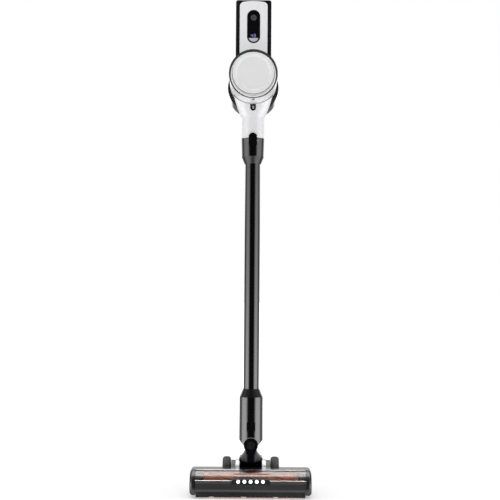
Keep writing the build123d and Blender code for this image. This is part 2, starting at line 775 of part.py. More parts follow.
def make_bin():
    """Smoked dust bin with a hinged rear lid and its seal."""
    bin_body = axial(bin_radius, bin_front, bin_back, bin_height)
    bin_body -= axial(bin_radius - bin_wall, bin_front + bin_wall, bin_back + 1, bin_height)
    bin_body -= axial(screen_radius + 4, bin_front - 1, bin_front + 3, drum_height - 3)
    inlet_low = bin_height - bin_radius + bin_wall
    bin_body -= block(-12, 12, bin_front - 1, bin_front + 3, inlet_low, inlet_low + 8)
    hinge_depth = bin_back + 2
    hinge_height = bin_height - bin_radius - 3.5
    knuckle = cross(3, -5.6, 5.6, hinge_depth, hinge_height)
    knuckle += block(-5.6, 5.6, hinge_depth - 10, hinge_depth - 2, hinge_height - 3, hinge_height + 5)
    knuckle += block(-5.6, 5.6, hinge_depth - 3, hinge_depth, hinge_height - 3, hinge_height)
    knuckle -= cross(1.5, -6, 6, hinge_depth, hinge_height)
    knuckle -= axial(bin_radius - 1, bin_front, bin_back + 9, bin_height)
    bin_body += knuckle
    save("dust_bin", bin_body)
    save("bin_hinge_pin", cross(1.5, -14, 14, hinge_depth, hinge_height))
    lid_front = bin_back + 0.3
    lid = axial(bin_radius, lid_front, lid_front + 4, bin_height)
    lid = fillet(lid.faces().sort_by(Axis.Y)[-1].edges(), 2)
    lid += axial(bin_radius - 12, lid_front + 3, lid_front + 6, bin_height)
    ear = cross(3, 6, 14, hinge_depth, hinge_height)
    ear += block(6, 14, hinge_depth - 1.5, hinge_depth + 1.8, hinge_height, hinge_height + 7)
    for side in both_sides(ear):
        lid += side
    lid -= block(-5.95, 5.95, lid_front - 1, lid_front + 7, hinge_height - 5, hinge_height + 4.5)
    lid -= cross(1.5 + pin_gap, -20, 20, hinge_depth, hinge_height)
    save("bin_lid", lid)
    seal_radius = bin_radius - bin_wall - running_gap
    seal = axial(seal_radius, lid_front - 3, lid_front, bin_height)
    seal -= axial(seal_radius - 3, lid_front - 4, lid_front + 1, bin_height)
    save("bin_lid_seal", seal)


def make_deck():
    """Control deck: black frame, white cover, display, two buttons and the circuit board."""
    middle_low = drum_height + 20
    frame = block(-deck_half_width, deck_half_width, deck_front, deck_back, middle_low, deck_top)
    frame = fillet(frame.edges().filter_by(Axis.Y).group_by(Axis.Z)[-1], 5)
    room = deck_half_width - deck_wall
    frame -= block(-room, room, deck_front + 4, deck_back - deck_wall, 0, deck_top - deck_wall)
    opening = cover_half_width + seat_gap
    window_top = deck_top - 2.2
    frame -= block(-opening, opening, deck_front - 1, deck_front + 5, 0, window_top)
    frame -= axial(drum_radius + seat_gap, -60, 60, drum_height)
    save("deck_frame", frame)
    front = deck_front - cover_rise
    cover_top = deck_top - 2.5
    outline = Line((-cover_half_width, middle_low), (-cover_half_width, cover_top - 12))
    outline += RadiusArc((-cover_half_width, cover_top - 12), (-cover_half_width + 10, cover_top - 2), 10)
    outline += ThreePointArc(
        (-cover_half_width + 10, cover_top - 2), (0, cover_top), (cover_half_width - 10, cover_top - 2)
    )
    outline += RadiusArc((cover_half_width - 10, cover_top - 2), (cover_half_width, cover_top - 12), 10)
    outline += Line((cover_half_width, cover_top - 12), (cover_half_width, middle_low))
    outline += Line((cover_half_width, middle_low), (-cover_half_width, middle_low))
    plane = Plane((0, wand_y + front, 0), x_dir=(1, 0, 0), z_dir=(0, -1, 0))
    cover = extrude(plane * make_face(outline), cover_thickness, dir=(0, 1, 0))
    cover -= axial(drum_radius + seat_gap, -60, 60, drum_height)
    display_mid = deck_top - display_top_margin - display_length / 2
    cover -= pill(display_width + 2 * pin_gap, display_length + 2 * pin_gap, front, 10, display_mid)
    save("deck_cover", cover)
    panel = pill(display_width, display_length, front - 0.4, 3.9, display_mid)
    button_height = display_mid + 20
    panel -= axial(power_button_radius + running_gap, front - 2, front + 9, button_height)
    moon_middle = display_mid - (display_length - display_width) / 2
    moon_drop = 3.2
    panel -= half_moon(moon_radius + running_gap, front - 2, 12, moon_middle, moon_drop - running_gap)
    save("display_panel", panel)
    save("power_button", axial(power_button_radius, front - 0.7, front + 2.2, button_height))
    save("mode_button", half_moon(moon_radius, front - 0.7, 2.9, moon_middle, moon_drop))
    board_front = front + cover_thickness + seat_gap
    low = display_mid - 40
    board = block(-26, 26, board_front, board_front + 1.6, low, display_mid + 36)
    save("circuit_board", board)


def pill(width, length, front, thickness, middle):
    """A round-ended upright plate."""
    half = (length - width) / 2
    body = block(-width / 2, width / 2, front, front + thickness, middle - half, middle + half)
    body += axial(width / 2, front, front + thickness, middle + half)
    return body + axial(width / 2, front, front + thickness, middle - half)


def half_moon(radius, front, thickness, middle, drop):
    """The lower segment of a disc."""
    body = axial(radius, front, front + thickness, middle)
    return body - block(-30, 30, front - 1, front + thickness + 1, middle - drop, middle + 40)


def make_grip():
    """Hollow grip from the deck to the battery, ending in the battery's seat."""
    half = grip_half_width
    grip = block(-half, half, deck_back, battery_front - 4, grip_low, grip_high)
    grip = fillet(grip.edges().filter_by(Axis.Y), 13)
    plate = block(
        -battery_half_width, battery_half_width, battery_front - 4, battery_front, battery_low, battery_top
    )
    grip += fillet(plate.edges().filter_by(Axis.Y), 8)
    hole = block(
        -half + grip_wall,
        half - grip_wall,
        deck_back - 1,
        battery_front + 1,
        grip_low + grip_wall,
        grip_high - grip_wall,
    )
    grip -= fillet(hole.edges().filter_by(Axis.Y), 8)
    save("grip", grip)


def make_battery():
    """Battery pack: case, front lid with terminals, seven cells, latch and charging socket."""
    front = battery_front + 0.3
    half = battery_half_width
    case = block(-half, half, front + 2, back_reach, battery_low, battery_top)
    case = fillet(case.edges().filter_by(Axis.Y), 8)
    case = fillet(case.faces().sort_by(Axis.Y)[-1].edges(), 4)
    inner = half - battery_wall
    low = battery_low + battery_wall
    high = battery_top - battery_wall
    case -= block(-inner, inner, front, back_reach - battery_wall, low, high)
    socket_height = battery_low + 9.5
    case -= axial(5, back_reach - 10, back_reach + 1, socket_height)
    latch_depth = front + 20
    case -= post(8 + running_gap, battery_top - 9, battery_top + 1, 0, latch_depth)
    save("battery_case", case)
    lid = block(-half, half, front, front + 2, battery_low, battery_top)
    lid = fillet(lid.edges().filter_by(Axis.Y), 8)
    for side in (-1, 1):
        lid += block(side * 8 - 2, side * 8 + 2, front - 3, front, grip_mid - 8, grip_mid + 8)
    save("battery_lid", lid)
    cells = []
    pitch = 2 * cell_radius + 0.2
    for column in range(2):
        for row in range(4 - column):
            depth = back_reach - battery_wall - cell_radius - 0.1 - column * pitch
            height = high - 1.4 - cell_radius - row * pitch
            cells.append(cross(cell_radius, -cell_length / 2, cell_length / 2, depth, height))
    save("battery_cells", *cells)
    latch = post(8, battery_top - 1.2, battery_top + 1.5, 0, latch_depth)
    save("battery_latch", fillet(latch.faces().sort_by(Axis.Z)[-1].edges(), 0.6))
    socket = axial(5, back_reach - charge_bore_length, back_reach, socket_height)
    socket -= axial(charge_bore_radius, back_reach - 20, back_reach + 1, socket_height)
    save("charging_socket", socket)


make_head_shell()
make_head_window()
make_lamp_panel()
make_front_bumper()
make_end_caps()
make_suction_duct()
make_brush()
make_brush_motor()
make_front_wheels()
make_axles()
make_brackets()
make_rear_wheels()
make_pivot_barrel()
make_swivel_bell()
make_lean_pins()
make_connector()
make_head_release()
make_wand()
make_neck_duct()
make_drum()
make_suction_motor()
make_cyclone()
make_bin()
make_deck()
make_grip()
make_battery()
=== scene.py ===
import math

import bpy
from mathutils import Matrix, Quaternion, Vector


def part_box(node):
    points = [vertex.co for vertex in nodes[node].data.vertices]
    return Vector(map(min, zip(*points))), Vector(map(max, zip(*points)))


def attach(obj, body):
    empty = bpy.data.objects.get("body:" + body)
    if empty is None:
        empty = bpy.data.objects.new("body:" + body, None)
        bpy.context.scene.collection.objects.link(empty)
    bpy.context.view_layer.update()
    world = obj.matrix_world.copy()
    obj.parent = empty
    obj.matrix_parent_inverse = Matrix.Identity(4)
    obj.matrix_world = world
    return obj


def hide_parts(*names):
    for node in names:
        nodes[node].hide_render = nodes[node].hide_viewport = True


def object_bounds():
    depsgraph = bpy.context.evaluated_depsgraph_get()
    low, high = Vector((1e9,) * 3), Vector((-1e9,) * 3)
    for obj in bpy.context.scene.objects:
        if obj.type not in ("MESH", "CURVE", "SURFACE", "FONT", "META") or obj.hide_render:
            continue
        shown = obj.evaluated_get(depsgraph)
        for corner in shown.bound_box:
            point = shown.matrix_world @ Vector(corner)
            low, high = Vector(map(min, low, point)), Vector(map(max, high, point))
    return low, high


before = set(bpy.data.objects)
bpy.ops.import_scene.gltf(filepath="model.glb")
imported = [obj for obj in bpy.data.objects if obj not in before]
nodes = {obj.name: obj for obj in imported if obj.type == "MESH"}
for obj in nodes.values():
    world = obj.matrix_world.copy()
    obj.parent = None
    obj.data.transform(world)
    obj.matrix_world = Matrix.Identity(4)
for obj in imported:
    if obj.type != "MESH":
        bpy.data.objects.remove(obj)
cad_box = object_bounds()
bpy.ops.object.select_all(action="DESELECT")


# Studio. A broad pale floor under an even white surround. Its reflections are those of two tall
# side lamps and a lamp overhead in a dark room, which draw the long highlights on the wand.
tube_low, tube_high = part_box("wand_tube")
wand_y = (tube_low.y + tube_high.y) / 2
camera_distance = 2.3
camera_height = 0.45
camera_lens = 73.75
camera_roll = math.radians(0.39)
aim = Vector((-0.0048, wand_y, 0.5357))

bpy.ops.object.camera_add(location=(0, wand_y - camera_distance, camera_height))
camera = bpy.context.object
camera.data.lens = camera_lens
camera.data.sensor_width = 36
camera.rotation_mode = "QUATERNION"
look = (aim - camera.location).to_track_quat("-Z", "Y")
camera.rotation_quaternion = look @ Quaternion((0, 0, 1), camera_roll)
bpy.context.scene.camera = camera
bpy.context.scene.view_settings.view_transform = "Standard"

surround = bpy.data.worlds.new("surround")
bpy.context.scene.world = surround
surround.use_nodes = True
sky = surround.node_tree.nodes
sky_link = surround.node_tree.links.new


def level(source, steps):
    """Brightness that follows one coordinate of the direction, from (coordinate, level) steps."""
    spread = sky.new("ShaderNodeMapRange")
    spread.inputs["From Min"].default_value = -1
    sky_link(source, spread.inputs["Value"])
    ramp = sky.new("ShaderNodeValToRGB")
    while len(ramp.color_ramp.elements) < len(steps):
        ramp.color_ramp.elements.new(1)
    for element, (coordinate, value) in zip(ramp.color_ramp.elements, steps):
        element.position = (coordinate + 1) / 2
        element.color = (value, value, value, 1)
    sky_link(spread.outputs["Result"], ramp.inputs["Fac"])
    return ramp.outputs["Color"]


def combine(operation, first, second):
    """Arithmetic on two brightnesses, either of which may be a number."""
    node = sky.new("ShaderNodeMath")
    node.operation = operation
    for socket, value in zip(node.inputs, (first, second)):
        if isinstance(value, (int, float)):
            socket.default_value = value
        else:
            sky_link(value, socket)
    return node.outputs["Value"]


direction = sky.new("ShaderNodeTexCoord")
axes = sky.new("ShaderNodeSeparateXYZ")
sky_link(direction.outputs["Generated"], axes.inputs["Vector"])
side_depth = [
    (-1, 0.006),
    (-0.84, 0.01),
    (-0.66, 0.9),
    (-0.48, 1),
    (0.05, 0.75),
    (0.3, 0.12),
    (1, 0.06),
]
side_height = [(-1, 0.2), (-0.3, 0.5), (-0.13, 1), (0, 0.6), (0.14, 0.34), (0.4, 0.16), (0.6, 0.04)]
top_depth = [(-0.35, 0), (-0.15, 1), (0.6, 0.7)]
top_height = [(0.7, 0), (0.82, 1), (1, 1)]
wall_depth = [(0.5, 0), (0.75, 1)]
wall_height = [(0.06, 0), (0.13, 1), (0.3, 1), (0.42, 0)]
side_power = 6.4
top_power = 6.5
wall_power = 1.7
lamps = 0
for depth_steps, height_steps, power in (
    (side_depth, side_height, side_power),
    (top_depth, top_height, top_power),
    (wall_depth, wall_height, wall_power),
):
    across = level(axes.outputs["Y"], depth_steps)
    upward = level(axes.outputs["Z"], height_steps)
    lamp = combine("MULTIPLY", combine("MULTIPLY", across, upward), power)
    lamps = combine("ADD", lamps, lamp)

rays = sky.new("ShaderNodeLightPath")
fill_level = 0.44
through_power = 3.4
through = level(axes.outputs["Z"], [(0.1, 0.1), (0.4, 0.3), (0.75, 1)])
fill = sky.new("ShaderNodeMix")
sky_link(rays.outputs["Is Transmission Ray"], fill.inputs["Factor"])
fill.inputs["A"].default_value = fill_level
sky_link(combine("MULTIPLY", through, through_power), fill.inputs["B"])
strength = sky.new("ShaderNodeMix")
sky_link(rays.outputs["Is Glossy Ray"], strength.inputs["Factor"])
sky_link(fill.outputs["Result"], strength.inputs["A"])
sky_link(lamps, strength.inputs["B"])
seen = sky.new("ShaderNodeMix")
sky_link(rays.outputs["Is Camera Ray"], seen.inputs["Factor"])
sky_link(strength.outputs["Result"], seen.inputs["A"])
seen.inputs["B"].default_value = 1
sky_link(seen.outputs["Result"], sky["Background"].inputs["Strength"])
sky["Background"].inputs["Color"].default_value = (1, 1, 1, 1)


def softbox(name, place, target, width, height, power):
    """A rectangular lamp facing a point, kept out of the reflections."""
    bpy.ops.object.light_add(type="AREA", location=place)
    lamp = bpy.context.object
    lamp.name = name
    lamp.data.shape = "RECTANGLE"
    lamp.data.size = width
    lamp.data.size_y = height
    lamp.data.energy = power
    lamp.rotation_euler = (Vector(target) - Vector(place)).to_track_quat("-Z", "Y").to_euler()
    lamp.visible_glossy = False


softbox("overhead", (0, wand_y - 0.5, 2.6), (0, wand_y, 0.4), 2.2, 1.8, 24)
softbox("front_fill", (0, wand_y - 3.2, 1.1), (0, wand_y, 0.6), 2.4, 2.0, 10)
softbox("left_fill", (-2.4, wand_y - 0.2, 0.9), (0, wand_y, 0.7), 1.6, 1.6, 11)
softbox("right_fill", (2.4, wand_y - 0.2, 0.9), (0, wand_y, 0.7), 1.6, 1.6, 11)

floor_size = 60
floor_gap = 0.0004
bpy.ops.mesh.primitive_plane_add(size=floor_size, location=(0, 0, cad_box[0].z - floor_gap))
floor = bpy.context.object
floor.name = "studio_floor"
floor.visible_glossy = False
floor_paint = bpy.data.materials.new("floor_paint")
floor_paint.use_nodes = True
floor_nodes = floor_paint.node_tree.nodes
floor_link = floor_paint.node_tree.links.new
floor_shader = floor_nodes["Principled BSDF"]
floor_shader.inputs["Base Color"].default_value = (0.86, 0.86, 0.86, 1)
floor_shader.inputs["Roughness"].default_value = 0.7
floor_shader.inputs["Specular IOR Level"].default_value = 0
floor_shader.inputs["Emission Color"].default_value = (1, 1, 1, 1)
# The floor also glows: painted light that grows with distance from the middle, so it stays dimmer near
# the object and fades to white far off.
floor_place = floor_nodes.new("ShaderNodeTexCoord")
floor_reach = floor_nodes.new("ShaderNodeVectorMath")
floor_reach.operation = "LENGTH"
floor_glow = floor_nodes.new("ShaderNodeMapRange")
floor_glow.inputs["From Min"].default_value = 0.3
floor_glow.inputs["From Max"].default_value = 1.6
floor_glow.inputs["To Min"].default_value = 0.34
floor_glow.inputs["To Max"].default_value = 1.0
floor_link(floor_place.outputs["Object"], floor_reach.inputs[0])
floor_link(floor_reach.outputs["Value"], floor_glow.inputs["Value"])
floor_link(floor_glow.outputs["Result"], floor_shader.inputs["Emission Strength"])
floor.data.materials.append(floor_paint)


# Black head housing, suction throat and axle arms. One matt injection-moulded plastic with a fine
# spark-eroded grain, a little greyer in random clouds.
def moulded_group():
    """Node group for moulded plastic: two close tones, an uneven sheen and a fine grain."""
    group = bpy.data.node_groups.new("moulded_surface", "ShaderNodeTree")
    face = group.interface
    for label, kind, value in (
        ("Tone A", "NodeSocketColor", (0.5, 0.5, 0.5, 1)),
        ("Tone B", "NodeSocketColor", (0.5, 0.5, 0.5, 1)),
        ("Grain Scale", "NodeSocketFloat", 900.0),
        ("Roughness Low", "NodeSocketFloat", 0.3),
        ("Roughness High", "NodeSocketFloat", 0.4),
    ):
        socket = face.new_socket(name=label, in_out="INPUT", socket_type=kind)
        socket.default_value = value
    face.new_socket(name="Colour", in_out="OUTPUT", socket_type="NodeSocketColor")
    face.new_socket(name="Roughness", in_out="OUTPUT", socket_type="NodeSocketFloat")
    face.new_socket(name="Height", in_out="OUTPUT", socket_type="NodeSocketFloat")
    tree = group.nodes
    link = group.links.new
    entry = tree.new("NodeGroupInput")
    leave = tree.new("NodeGroupOutput")
    place = tree.new("ShaderNodeTexCoord")
    cloud = tree.new("ShaderNodeTexNoise")
    cloud.inputs["Scale"].default_value = 22
    cloud.inputs["Detail"].default_value = 4
    grain = tree.new("ShaderNodeTexNoise")
    grain.inputs["Detail"].default_value = 2
    link(place.outputs["Object"], cloud.inputs["Vector"])
    link(place.outputs["Object"], grain.inputs["Vector"])
    link(entry.outputs["Grain Scale"], grain.inputs["Scale"])
    tone = tree.new("ShaderNodeMix")
    tone.data_type = "RGBA"
    link(cloud.outputs["Fac"], tone.inputs["Factor"])
    link(entry.outputs["Tone A"], tone.inputs["A"])
    link(entry.outputs["Tone B"], tone.inputs["B"])
    link(tone.outputs["Result"], leave.inputs["Colour"])
    sheen = tree.new("ShaderNodeMapRange")
    link(cloud.outputs["Fac"], sheen.inputs["Value"])
    sheen.inputs["From Min"].default_value = 0.3
    sheen.inputs["From Max"].default_value = 0.7
    link(entry.outputs["Roughness Low"], sheen.inputs["To Min"])
    link(entry.outputs["Roughness High"], sheen.inputs["To Max"])
    link(sheen.outputs["Result"], leave.inputs["Roughness"])
    link(grain.outputs["Fac"], leave.inputs["Height"])
    return group


moulded_surface = moulded_group()


def moulded(name, tone_a, tone_b, roughness, grain=900, depth=0.15, group=moulded_surface):
    """A moulded plastic or cast finish; roughness is its (lowest, highest)."""
    material = bpy.data.materials.new(name)
    material.use_nodes = True
    tree = material.node_tree
    shader = tree.nodes["Principled BSDF"]
    surface = tree.nodes.new("ShaderNodeGroup")
    surface.node_tree = group
    surface.inputs["Tone A"].default_value = (*tone_a, 1)
    surface.inputs["Tone B"].default_value = (*tone_b, 1)
    surface.inputs["Grain Scale"].default_value = grain
    surface.inputs["Roughness Low"].default_value = roughness[0]
    surface.inputs["Roughness High"].default_value = roughness[1]
    relief = tree.nodes.new("ShaderNodeBump")
    relief.inputs["Strength"].default_value = depth
    relief.inputs["Distance"].default_value = 0.0002
    tree.links.new(surface.outputs["Colour"], shader.inputs["Base Color"])
    tree.links.new(surface.outputs["Roughness"], shader.inputs["Roughness"])
    tree.links.new(surface.outputs["Height"], relief.inputs["Height"])
    tree.links.new(relief.outputs["Normal"], shader.inputs["Normal"])
    return material


def coat(material, **sockets):
    """Sets constant sockets on a material's shader."""
    shader = material.node_tree.nodes["Principled BSDF"]
    for label, value in sockets.items():
        shader.inputs[label.replace("_", " ")].default_value = value
    return material


def paint(material, *names):
    """Gives CAD nodes a finish in their own slots."""
    for name in names:
        for holder in nodes[name].material_slots:
            holder.material = material


head_black = moulded("head_black", (0.012, 0.012, 0.013), (0.018, 0.018, 0.019), (0.34, 0.46), 1400)
# The front skirt is painted black as a dark strip that stands in for the shade under the bumper.
paint(head_black, "suction_duct", "axle_brackets", "front_skirt")
deck_gloss = moulded("deck_gloss", (0.01, 0.01, 0.011), (0.014, 0.014, 0.015), (0.14, 0.2), 900, 0.01)
paint(deck_gloss, "head_shell")


# Front bumper bar. Dark grey satin plastic between the end caps, with a paler lip under the
# window where the light catches its slope.
bumper_grey = moulded("bumper_grey", (0.026, 0.026, 0.027), (0.033, 0.033, 0.034), (0.3, 0.4), 1600)
paint(bumper_grey, "front_bumper")
# A paler grey for the lamp bezel, which paints the highlight along the lamp panel's outline.
bezel_highlight_grey = moulded("bezel_highlight_grey", (0.1, 0.1, 0.102), (0.13, 0.13, 0.132), (0.25, 0.35), 1400, 0.03)


# Polished black plastic: end caps, connector and the wand's two fittings, with the swivel bell
# and barrel in a duller grade. Glossy mouldings with barely any texture.
gloss_black = moulded(
    "gloss_black", (0.0012, 0.0012, 0.0014), (0.002, 0.002, 0.0022), (0.14, 0.17), 300, 0.003
)
coat(gloss_black, Coat_Weight=0.3, Coat_Roughness=0.12)
paint(gloss_black, "connector_body", "wand_sleeve", "wand_collar")
cap_black = moulded("cap_black", (0.012, 0.012, 0.013), (0.017, 0.017, 0.018), (0.22, 0.3), 900, 0.03)
paint(cap_black, "end_caps")
swivel_black = moulded(
    "swivel_black", (0.003, 0.003, 0.004), (0.005, 0.005, 0.006), (0.16, 0.2), 500, 0.01
)
coat(swivel_black, Specular_IOR_Level=0.2)
paint(swivel_black, "pivot_barrel", "swivel_bell")


# Wand tube. Drawn aluminium with a baked black lacquer, smooth along its length with a faint
# orange-peel ripple.
tube_black = moulded(
    "tube_black", (0.0012, 0.0012, 0.0014), (0.002, 0.002, 0.0022), (0.14, 0.17), 120, 0.003
)
coat(tube_black, Coat_Weight=0.3, Coat_Roughness=0.12)
paint(tube_black, "wand_tube")


# Window over the brush. Smoked clear polycarbonate, bent to a quarter round and polished on
# both faces so that the copper brush shows through it.
smoked_window = moulded("smoked_window", (0.5, 0.44, 0.42), (0.56, 0.5, 0.47), (0.03, 0.06), 300, 0.003)
coat(smoked_window, Transmission_Weight=0.97, IOR=1.5)
paint(smoked_window, "head_window")


# Lamp panel. A glossy black trapezoid that carries five round lenses of clear plastic with
# a white lamp behind each.
lamp_housing = moulded(
    "lamp_housing", (0.02, 0.02, 0.021), (0.026, 0.026, 0.027), (0.16, 0.24), 900, 0.05
)
paint(lamp_housing, "lamp_panel")
lamp_lens = moulded("lamp_lens", (0.92, 0.95, 1.0), (0.97, 0.98, 1.0), (0.1, 0.2), 500, 0.05)
coat(lamp_lens, Emission_Color=(0.93, 0.97, 1.0, 1), Emission_Strength=2.2)
paint(lamp_lens, "lamp_lenses")


# Small steel parts: wheel axles, hinge pins and the rocker pin, turned from bar, with the brush
# motor's drawn can in a duller tone.
turned_steel = moulded("turned_steel", (0.5, 0.5, 0.51), (0.6, 0.6, 0.61), (0.22, 0.34), 1800, 0.1)
coat(turned_steel, Metallic=1.0)
paint(turned_steel, "wheel_axles", "wand_release_pin", "bin_hinge_pin", "brush_motor")
pin_black = moulded("pin_black", (0.01, 0.01, 0.01), (0.014, 0.014, 0.014), (0.2, 0.3), 900, 0.05)
paint(pin_black, "lean_pins")


# Trunnion rings. Bright silver-painted collars that hide the tilting joint on each side.
bright_ring = moulded("bright_ring", (0.86, 0.87, 0.88), (0.9, 0.91, 0.92), (0.24, 0.32), 1500, 0.03)
coat(bright_ring, Metallic=0.15)
paint(bright_ring, "pivot_rings")


# Wheels. Black moulded hubs, small black front wheels, and soft tyres on the rear pair.
wheel_black = moulded("wheel_black", (0.02, 0.02, 0.021), (0.028, 0.028, 0.029), (0.36, 0.5), 1300)
paint(wheel_black, "front_wheel_left", "front_wheel_right", "rear_wheel_left", "rear_wheel_right")
tyre_rubber = moulded("tyre_rubber", (0.022, 0.022, 0.023), (0.03, 0.03, 0.031), (0.55, 0.7), 2200, 0.3)


# Brush drive. Brown core under the pile, two turned pulleys and the black toothed belt.
core_brown = moulded("core_brown", (0.09, 0.04, 0.02), (0.12, 0.05, 0.03), (0.4, 0.5), 1200)
paint(core_brown, "brush_core")
pulley_metal = moulded("pulley_metal", (0.5, 0.5, 0.5), (0.6, 0.6, 0.6), (0.3, 0.4), 1600, 0.1)
coat(pulley_metal, Metallic=1.0)
paint(pulley_metal, "brush_pulley", "motor_pulley")
belt_rubber = moulded("belt_rubber", (0.015, 0.015, 0.015), (0.022, 0.022, 0.022), (0.6, 0.7), 1800, 0.3)
paint(belt_rubber, "drive_belt")


# Brush roller. A napped sleeve with six helical rows of copper-coloured nylon bristle, wound
# and glued as one part over the brown core, so that it turns with the brush.
def clear():
    """Leaves edit mode with nothing selected."""
    if bpy.context.object.mode != "OBJECT":
        bpy.ops.object.mode_set(mode="OBJECT")
    bpy.ops.object.select_all(action="DESELECT")


def pick(kind, test):
    """Selects the active piece's faces, edges or vertices that pass a test, in edit mode."""
    mesh = bpy.context.object.data
    bpy.ops.object.mode_set(mode="EDIT")
    bpy.ops.mesh.select_mode(type=kind)
    bpy.ops.mesh.select_all(action="DESELECT")
    bpy.ops.object.mode_set(mode="OBJECT")
    for item in {"FACE": mesh.polygons, "EDGE": mesh.edges, "VERT": mesh.vertices}[kind]:
        item.select = test(item)
    bpy.ops.object.mode_set(mode="EDIT")


def apply_modifiers():
    """Makes the active piece's modifiers part of its mesh."""
    bpy.ops.object.mode_set(mode="OBJECT")
    for name in [modifier.name for modifier in bpy.context.object.modifiers]:
        bpy.ops.object.modifier_apply(modifier=name)


def round_edges(width, segments=2, angle=40):
    """Adds a rounding of the active piece's sharp edges."""
    rounding = bpy.context.object.modifiers.new("rounding", "BEVEL")
    rounding.width = width
    rounding.segments = segments
    rounding.limit_method = "ANGLE"
    rounding.angle_limit = math.radians(angle)


def join(pieces):
    """Joins pieces into the last of them."""
    clear()
    for piece in pieces:
        piece.select_set(True)
    bpy.context.view_layer.objects.active = pieces[-1]
    bpy.ops.object.join()


def settle(name, body, slot, material, *stands_for):
    """Finishes the active piece: mesh at its place, normals, finish and body; the slot is not used."""
    apply_modifiers()
    piece = bpy.context.object
    piece.name = name
    bpy.ops.object.transform_apply(location=True, rotation=True, scale=True)
    bpy.ops.object.mode_set(mode="EDIT")
    bpy.ops.mesh.select_all(action="SELECT")
    bpy.ops.mesh.remove_doubles(threshold=0.000002)
    bpy.ops.mesh.normals_make_consistent(inside=False)
    bpy.ops.object.mode_set(mode="OBJECT")
    bpy.ops.object.shade_smooth_by_angle(angle=math.radians(34))
    piece.data.materials.clear()
    piece.data.materials.append(material)
    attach(piece, body)
    if stands_for:
        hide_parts(*stands_for)
    bpy.ops.object.select_all(action="DESELECT")


bristle_copper = moulded("bristle_copper", (0.62, 0.17, 0.06), (0.86, 0.33, 0.15), (0.5, 0.7), 1500, 0.7)
pile_low, pile_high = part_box("brush_pile")
brush_middle = (pile_low + pile_high) / 2
pile_length = pile_high.x - pile_low.x
pile_radius = (pile_high.z - pile_low.z) / 2
bristle_reach = 0.0028
nap_radius = pile_radius - bristle_reach
sleeve_bore = 0.01705
bristle_rows = 6
row_thickness = 0.0034
row_root = 0.0006
row_height = pile_radius - nap_radius + row_root
row_tip_gap = 0.00015
tip_taper = 0.45
winding_turn = math.radians(200)
winding_steps = 44

clear()
bpy.ops.mesh.primitive_cylinder_add(
    vertices=72,
    radius=nap_radius,
    depth=pile_length,
    end_fill_type="NOTHING",
    location=brush_middle,
    rotation=(0, math.pi / 2, 0),
)
nap = bpy.context.object
nap_wall = nap.modifiers.new("wall", "SOLIDIFY")
nap_wall.thickness = nap_radius - sleeve_bore
nap_wall.offset = -1
round_edges(0.0008)
apply_modifiers()

clear()
row_start = Vector((pile_low.x, brush_middle.y, brush_middle.z))
bpy.ops.mesh.primitive_plane_add(size=1, location=row_start, rotation=(0, math.pi / 2, 0))
bpy.ops.object.mode_set(mode="EDIT")
bpy.ops.transform.resize(value=(1, row_thickness, row_height), center_override=row_start)
bpy.ops.transform.translate(value=(0, 0, pile_radius - row_tip_gap - row_height / 2))
pick("VERT", lambda point: point.co.x < -nap_radius - 0.001)
bpy.ops.transform.resize(value=(1, tip_taper, 1), center_override=row_start)
bpy.ops.mesh.select_all(action="SELECT")
bpy.ops.mesh.delete(type="ONLY_FACE")
bpy.ops.object.mode_set(mode="OBJECT")
winding = bpy.context.object.modifiers.new("winding", "SCREW")
winding.axis = "Z"
winding.angle = winding_turn
winding.screw_offset = pile_length
winding.steps = winding_steps
winding.render_steps = winding_steps
apply_modifiers()
bpy.ops.object.mode_set(mode="EDIT")
bpy.ops.mesh.select_all(action="SELECT")
bpy.ops.mesh.fill_holes(sides=4)
bpy.ops.object.mode_set(mode="OBJECT")
rows = [bpy.context.object]
while len(rows) < bristle_rows:
    bpy.ops.object.duplicate()
    turn = 2 * math.pi / bristle_rows
    bpy.ops.transform.rotate(value=turn, orient_axis="X", center_override=row_start)
    rows.append(bpy.context.object)
join([*rows, nap])
settle("brush_roller", "brush", "brush_pile", bristle_copper, "brush_pile")


# Rear tyres. Soft black rubber hoops, crowned across the tread and cut with shallow blocks for
# grip, stretched over the hubs. Each is turned, its blocks pressed in and its rims rounded.
tread_blocks = 36
tread_depth = 0.0007
tread_gap = 0.0005
middle_band = 0.12  # shares of the width, from the middle
shoulder_band = 0.36
rim_band = 0.5
shoulder_drop = 0.0042
crown_drop = 0.0008


